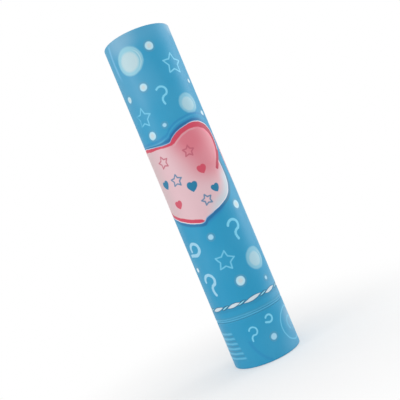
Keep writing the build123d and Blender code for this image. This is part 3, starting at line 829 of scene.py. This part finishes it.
def rubber():
    """Dark seal rubber with dusty bloom."""
    bloom_span, rough, bump = (0.45, 0.75), (0, 1, 0.55, 0.8), (0.1, 0.0002)
    shade = Finish("seal_rubber", IOR=1.5)
    bloom = shade.mask(shade.grain(300, 3), *bloom_span)
    shade.colour = shade.mix(bloom, "#1E1F21", "#37383A")
    return shade.done(bloom, rough, bloom, bump)


def felt_finish():
    """Pressed grey felt: matted fibres with coloured flecks."""
    fleck_span, rough, bump = (0.66, 0.72, 0.5), (0.2, 0.8, 0.85, 0.98), (0.6, 0.0005)
    shade = Finish("wad_felt", Sheen_Weight=0.4)
    mat = shade.grain(700, 5, 0.7)
    shade.colour = shade.mix(mat, "#8E8B86", "#C9C5BE")
    shade.paint("#6E7E8A", (shade.grain(1100, 1), fleck_span))
    return shade.done(mat, rough, mat, bump)


def tissue():
    """Pink tissue slips: tone by slip, with fine fibres."""
    slip_span, fibre_span = (0.3, 0.7), (0.5, 0.8, 0.35)
    rough, bump = (0.2, 0.8, 0.75, 0.92), (0.15, 0.0002)
    shade = Finish("tissue_slips", Sheen_Weight=0.15)
    fibre = shade.grain(1500, 3)
    by_slip = shade.mask(shade.grain((900, 40, 40), 1), *slip_span)
    shade.colour = shade.mix(by_slip, "#D9728F", "#F0AEBE")
    shade.paint("#F6CBD5", (fibre, fibre_span))
    return shade.done(fibre, rough, fibre, bump)


def mesh_of(name, bm):
    """Mesh from the drawn faces."""
    mesh = bpy.data.meshes.new(name)
    bm.normal_update()
    bm.to_mesh(mesh)
    bm.free()
    return mesh


def placed(name, data):
    """Object in the scene that shows the data."""
    made = bpy.data.objects.new(name, data)
    bpy.context.scene.collection.objects.link(made)
    return made


def new_piece(name, node, bm, body, slot, *materials):
    """Mesh piece that rides on a body in place of a node, with its material slots."""
    piece = placed(name, mesh_of(name, bm))
    for material in materials:
        piece.data.materials.append(material)
    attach(piece, body)
    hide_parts(node)
    return piece


def film_profile(open_end, rolled_end):
    """Section of the film: radius, height, share of puckering, whether it is the back, and map weight."""
    way = 1 if rolled_end > open_end else -1
    corner = rolled_end - way * RIM_ROUND
    flat = RADIUS - RIM_ROUND
    run = corner - open_end
    rows = round(abs(run) / FILM_ROW)
    section = [(RADIUS, open_end + run * i / rows, 0, False, FRONT_WEIGHT) for i in range(rows)]
    for i in range(RIM_STEPS + 1):
        angle = math.pi / 2 * i / RIM_STEPS
        height = corner + way * RIM_ROUND * math.sin(angle)
        section.append((flat + RIM_ROUND * math.cos(angle), height, i / RIM_STEPS, False, FRONT_WEIGHT))
    section += [(flat - LIP_WIDTH * share, rolled_end, 1, False, FRONT_WEIGHT) for share in (0.5, 1)]
    section.append((flat - LIP_WIDTH, rolled_end - way * FILM_THICKNESS, 1, True, LIP_WEIGHT))
    reach = RIM_ROUND - FILM_THICKNESS
    for i in range(RIM_STEPS + 1):
        angle = math.pi / 2 * (1 - i / RIM_STEPS)
        height = corner + way * reach * math.sin(angle)
        section.append((flat + reach * math.cos(angle), height, 0, True, LIP_WEIGHT))
    rows = max(2, round(abs(run) / BACK_ROW))
    back = RADIUS - FILM_THICKNESS
    section += [(back, corner - run * i / rows, 0, True, BACK_WEIGHT) for i in range(1, rows + 1)]
    return section, way


def wave(spot):
    """Noise at a place, brought to run from 0 to 1."""
    return 0.5 + 0.5 * noise.noise(spot)


def film_offset(angle, height, pucker, rolled_end):
    """How far the outer skin lies inside its largest radius, and how deep its puckers are."""
    around = Vector((RADIUS * math.sin(angle), -RADIUS * math.cos(angle), height))
    sag = FILM_SAG * wave(around / SAG_SIZE)
    lap = (angle - LAP_ANGLE) % TURN * RADIUS
    lift = LAP_STEP if lap < LAP_WIDTH else 0
    crease_angle = (CREASE_S + CREASE_BEND * (height / MM - CREASE_Z) ** 2) / RADIUS_MM
    crease_way = ((angle - crease_angle + math.pi) % TURN - math.pi) * RADIUS / CREASE_WIDTH
    fade = max(0, 1 - abs(rolled_end - height) / CREASE_LENGTH)
    crease = CREASE_DEPTH * fade * math.exp(-crease_way ** 2)
    drift = PUCKER_WANDER * noise.noise(around / PUCKER_WANDER_SIZE)
    ripple = 0.5 + 0.5 * math.sin(PUCKER_COUNT * angle + drift)
    swell = SWELL_MIDDLE + SWELL_REACH * noise.noise(around / SWELL_SIZE)
    return sag + LAP_STEP - lift + crease, PUCKER_DEPTH * pucker * ripple * swell


def film(name, node, body, open_end, rolled_end, front, back):
    """Closed shell of film with its lap, sag, crease, puckered lip and uneven cut edge."""
    section, way = film_profile(open_end, rolled_end)
    bm = bmesh.new()
    rings = []
    for radius, height, pucker, behind, _ in section:
        ring = []
        for i in range(FILM_SIDES):
            angle = LAP_ANGLE + TURN * i / FILM_SIDES
            inset, dip = (0, 0) if behind else film_offset(angle, height, pucker, rolled_end)
            cut = 0
            if height == open_end:
                cut = CUT_WANDER * wave(Vector((math.cos(angle), math.sin(angle), 0)) * CUT_WAVES)
            out = radius - inset * (1 - pucker)
            up = height + way * (cut - dip)
            ring.append(bm.verts.new((out * math.sin(angle), -out * math.cos(angle), up)))
        rings.append(ring)
    lengths = [0]
    for (r0, z0, *_, weight), (r1, z1, *_) in zip(section, section[1:] + section[:1]):
        lengths.append(lengths[-1] + math.hypot(r1 - r0, z1 - z0) * weight)
    layer = bm.loops.layers.uv.new("OFBake")
    for j, ring in enumerate(rings):
        above = rings[(j + 1) % len(rings)]
        behind = section[j][3] and j < len(rings) - 1
        for i in range(FILM_SIDES):
            n = (i + 1) % FILM_SIDES
            corners = (ring[i], ring[n], above[n], above[i])
            face = bm.faces.new(corners[::way])
            face.smooth = True
            face.material_index = 1 if behind else 0
            spots = [(i, j), (i + 1, j), (i + 1, j + 1), (i, j + 1)]
            for loop, (u, v) in zip(face.loops, spots[::way]):
                loop[layer].uv = (u / FILM_SIDES, lengths[v] / lengths[-1])
    for ring in (rings[0], rings[-1]):
        for i in range(FILM_SIDES):
            bm.edges.get((ring[i], ring[(i + 1) % FILM_SIDES])).smooth = False
    new_piece(name, node, bm, body, "printed_film", front, back)


def disc(name, node, body, slot, material, low, high, rounding, relief):
    """Closed round disc with a rounded rim and a relief, given as a depth by place, on both faces."""
    sides, flat_rings, rim_rings = 144, 24, 6
    rings = flat_rings + rim_rings
    bm = bmesh.new()
    inner_radius = high.x - rounding
    faces = []
    for level, way in ((high.z, 1), (low.z, -1)):
        centre = bm.verts.new((0, 0, level - way * relief(Vector((0, 0, level)))))
        grid = []
        for j in range(1, rings + 1):
            bend = math.pi / 2 * max(0, j - flat_rings) / rim_rings
            reach = inner_radius * min(j, flat_rings) / flat_rings + rounding * math.sin(bend)
            drop = rounding * (1 - math.cos(bend))
            ring = []
            for i in range(sides):
                angle = TURN * i / sides
                spot = Vector((reach * math.cos(angle), reach * math.sin(angle), level))
                depth = relief(spot) if j < rings else 0
                ring.append(bm.verts.new((spot.x, spot.y, level - way * (drop + depth))))
            grid.append(ring)
        faces.append((centre, grid, way))
    upper, lower = faces[0][1][-1], faces[1][1][-1]
    for i in range(sides):
        n = (i + 1) % sides
        for centre, grid, way in faces:
            bm.faces.new((centre, grid[0][i], grid[0][n])[::way])
            for inner, outer in zip(grid, grid[1:]):
                bm.faces.new((inner[i], outer[i], outer[n], inner[n])[::way])
        bm.faces.new((lower[i], lower[n], upper[n], upper[i]))
    for face in bm.faces:
        face.smooth = True
    return new_piece(name, node, bm, body, slot, material)


def foil_relief(spot):
    """Crinkles of the foil: sharp ridges between flat facets, on its upper face alone."""
    depth, wide_size, fine_size = 0.22 * MM, 7 * MM, 2.6 * MM
    wide_share, fine_share, fine_start = 1.3, 0.7, Vector((5, 3, 1))
    if spot.z < (FOIL_LOW.z + FOIL_HIGH.z) / 2:
        return 0
    wide = abs(noise.noise(spot / wide_size))
    fine = abs(noise.noise(spot / fine_size + fine_start))
    return depth * min(1, wide_share * wide + fine_share * fine)


def felt_relief(spot):
    """Uneven matted face of the felt."""
    depth, mat_size = 0.22 * MM, 2.2 * MM
    return depth * wave(spot / mat_size)


def islands(node):
    """Boxes of the separate solids in a node, as lowest and highest corners."""
    bm = bmesh.new()
    bm.from_mesh(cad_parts[node].data)
    bmesh.ops.remove_doubles(bm, verts=bm.verts, dist=0.001 * MM)
    left = set(bm.verts)
    boxes = []
    while left:
        todo = [left.pop()]
        found = []
        while todo:
            vert = todo.pop()
            found.append(vert.co.copy())
            near = {edge.other_vert(vert) for edge in vert.link_edges} & left
            left -= near
            todo += near
        boxes.append((Vector(map(min, *found)), Vector(map(max, *found))))
    bm.free()
    return sorted(boxes, key=lambda box: tuple(round(c / MM) for c in box[0]))


def slip(bm, middle, half, thickness, bow, tilt):
    """One thin slip of tissue: a bowed sheet, closed on both sides, its face across X."""
    across, up, end_bow = 4, 6, 0.4
    sides = []
    for way in (1, -1):
        grid = []
        for j in range(up + 1):
            row = []
            for i in range(across + 1):
                u = 2 * i / across - 1
                v = 2 * j / up - 1
                x = (way * thickness + bow * (u * u + end_bow * v)) / 2
                spot = Vector((x, u * half.y, v * half.z))
                spot.rotate(tilt)
                row.append(bm.verts.new(middle + spot))
            grid.append(row)
        sides.append(grid)
    for grid, way in zip(sides, (1, -1)):
        for j in range(up):
            for i in range(across):
                corners = (grid[j][i], grid[j][i + 1], grid[j + 1][i + 1], grid[j + 1][i])
                bm.faces.new(corners[::way]).smooth = True
    front, back = sides
    rim = [(0, i) for i in range(across)] + [(j, across) for j in range(up)]
    rim += [(up, i) for i in range(across, 0, -1)] + [(j, 0) for j in range(up, 0, -1)]
    for (j0, i0), (j1, i1) in zip(rim, rim[1:] + rim[:1]):
        bm.faces.new((front[j1][i1], front[j0][i0], back[j0][i0], back[j1][i1]))


def slips(name, node, body, material, seed):
    """A tier of stacked slips in place of a confetti node, a stack for each of its solids."""
    draw = random.Random(seed)
    per_stack, edge_gap, most_shift, most_tilt = 22, 0.7 * MM, 0.5 * MM, math.radians(0.6)
    thickness_share, bow_share = 0.72, 0.18
    bm = bmesh.new()
    for low, high in islands(node):
        centre = (low + high) / 2
        half = (high - low) / 2
        pitch = 2 * half.x / per_stack
        size = Vector((0, half.y - edge_gap, half.z - edge_gap))
        for i in range(per_stack):
            middle = Vector((low.x + pitch * (i + 0.5), centre.y, centre.z))
            shift = Vector((0, draw.uniform(-most_shift, most_shift), draw.uniform(-most_shift, most_shift)))
            tilt = Matrix.Rotation(draw.uniform(-most_tilt, most_tilt), 3, "X").to_euler()
            bow = draw.uniform(-bow_share, bow_share) * pitch
            slip(bm, middle + shift, size, thickness_share * pitch, bow, tilt)
    new_piece(name, node, bm, body, "tissue_slips", material)


def dress(material, *nodes):
    """Gives CAD nodes their finish."""
    for name in nodes:
        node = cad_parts[name]
        if not node.material_slots:
            node.data.materials.append(material)
        for spot in node.material_slots:
            spot.material = material


def make_pieces():
    """Pieces that stand for the film, foil, felt and slips of the CAD model."""
    upper = printed_film("barrel_print", BARREL_LABEL_START, *BARREL_LIGHT_LINE, paint_barrel)
    lower = printed_film("base_print", BASE_LABEL_START, *BASE_LIGHT_LINE, paint_base)
    back = film_back()
    film("barrel_film", "barrel_wrap", "barrel", BARREL_LOW.z - FILM_REACH, BARREL_HIGH.z, upper, back)
    film("base_film", "base_wrap", "base", BASE_HIGH.z + FILM_REACH, BASE_LOW.z, lower, back)
    foil_rim, felt_rim = 0.1 * MM, 0.9 * MM
    foil, mat, paper = foil_finish(), felt_finish(), tissue()
    disc("foil_face", "muzzle_foil", "cap", "cap_foil", foil, FOIL_LOW, FOIL_HIGH, foil_rim, foil_relief)
    felt = disc("felt_wad", "wad_felt", "wad", "wad_felt", mat, FELT_LOW, FELT_HIGH, felt_rim, felt_relief)
    lower_seed, upper_seed = 11, 12
    slips("slips_lower", "confetti_lower", "lower_charge", paper, lower_seed)
    slips("slips_upper", "confetti_upper", "upper_charge", paper, upper_seed)


def dress_nodes():
    """Finishes of the nodes that keep their CAD shape."""
    inner = moulded("inner_plastic", "#D5D7D6", "#E6E7E5", 0.42)
    turned, drawn = (300, 300, 4000), (2500, 2500, 120)
    steel = metal("pin_steel", "#9DA1A4", "#C2C5C7", 0.3, turned)
    brass = metal("valve_brass", "#B8923F", "#D3B160", 0.28, turned)
    # Height of the painted highlight line round the collar
    collar_highlight_height = (JOINT_TOP_MM + JOINT_BOTTOM_MM) / 2
    dress(wound_paper(), "barrel_tube", "base_sleeve")
    dress(moulded("collar_plastic", "#148DBA", "#2B99C3", 0.45, collar_highlight_height), "twist_collar")
    dress(moulded("cover_plastic", "#D9DDDF", "#E9ECED", 0.4), "base_cover")
    dress(inner, "base_hub", "gland_plate", "bottle_seat", "bottle_spider", "striker_rod", "wad_cup")
    dress(rubber(), "rod_seal", "poppet_seal", "housing_gasket")
    dress(steel, "retaining_ring", "seal_washer", "cam_pin", "push_pin")
    dress(metal("bottle_aluminium", "#B9BDC1", "#D6D9DC", 0.32, drawn), "air_bottle")
    dress(brass, "valve_housing", "valve_poppet")
    dress(card(), "muzzle_cap")


def make_floor():
    """Pale floor that keeps the object's soft shadow and turns to plain white away from it."""
    radius, sides, drop = 1.6, 96, 0.05 * MM
    shadow_span, least_white = (0.03, 0.22), 0.3
    bm = bmesh.new()
    bmesh.ops.create_circle(bm, cap_ends=True, segments=sides, radius=radius)
    floor = placed("floor", mesh_of("floor", bm))
    floor.location.z = BASE_LOW.z - drop
    shade = Finish("floor_paper", Roughness=0.9)
    tone = shade.mix(shade.grain(30), "#F3F3F3", "#F7F7F7")
    shade.feed(shade.shader.inputs["Base Color"], tone)
    far = shade.step(shade.vector("LENGTH", shade.place), *shadow_span, least_white, 1)
    white = shade.add("ShaderNodeEmission")[0]
    shown = shade.times(shade.seen(), far)
    blend = shade.add("ShaderNodeMixShader", (shown, shade.shader.outputs[0], white))
    shade.feed(shade.tree.nodes["Material Output"].inputs["Surface"], blend[0])
    floor.data.materials.append(shade.material)


def make_light():
    """White surroundings, a high soft key and a soft strip on each side."""
    world = bpy.data.worlds.new("surroundings")
    bpy.context.scene.world = world
    world.use_nodes = True
    shade = Shade(world.node_tree)
    background = world.node_tree.nodes["Background"]
    fill_level = 0.74
    background.inputs["Color"].default_value = (1, 1, 1, 1)
    strength = shade.math("MULTIPLY_ADD", shade.seen(), 1 - fill_level, fill_level)
    shade.feed(background.inputs["Strength"], strength)
    # Name, place, width, height and power of each lamp
    lamps = [
        ("key", (0, -0.75, 0.85), 0.8, 0.8, 1.3),
        ("left_strip", (-0.68, -0.36, 0.31), 0.3, 0.5, 1.1),
        ("right_strip", (0.6, 0.16, 0.18), 0.35, 0.7, 1.75),
    ]
    aim = Vector((0, 0, 0.12))
    for name, place, width, height, power in lamps:
        light = bpy.data.lights.new(name, "AREA")
        light.shape = "RECTANGLE"
        light.size = width
        light.size_y = height
        light.energy = power
        lamp = placed(name, light)
        lamp.location = place
        lamp.rotation_euler = (aim - Vector(place)).to_track_quat("-Z", "Y").to_euler()


def make_camera():
    """Camera at the photograph's place, leaning with it."""
    place = (0, -0.4386, 0.1176)
    yaw, pitch, roll = math.radians(-0.30), math.radians(0.41), math.radians(-22.67)
    data = bpy.data.cameras.new("camera")
    data.sensor_width = 36
    data.lens = 54.6
    data.clip_start = 0.01
    camera = placed("camera", data)
    facing = Matrix.Rotation(-yaw, 4, "Z") @ Matrix.Rotation(math.pi / 2 + pitch, 4, "X")
    camera.matrix_world = Matrix.Translation(place) @ facing @ Matrix.Rotation(roll, 4, "Z")
    bpy.context.scene.camera = camera


make_pieces()
dress_nodes()
make_floor()
make_light()
make_camera()
bpy.context.scene.view_settings.view_transform = "Standard"
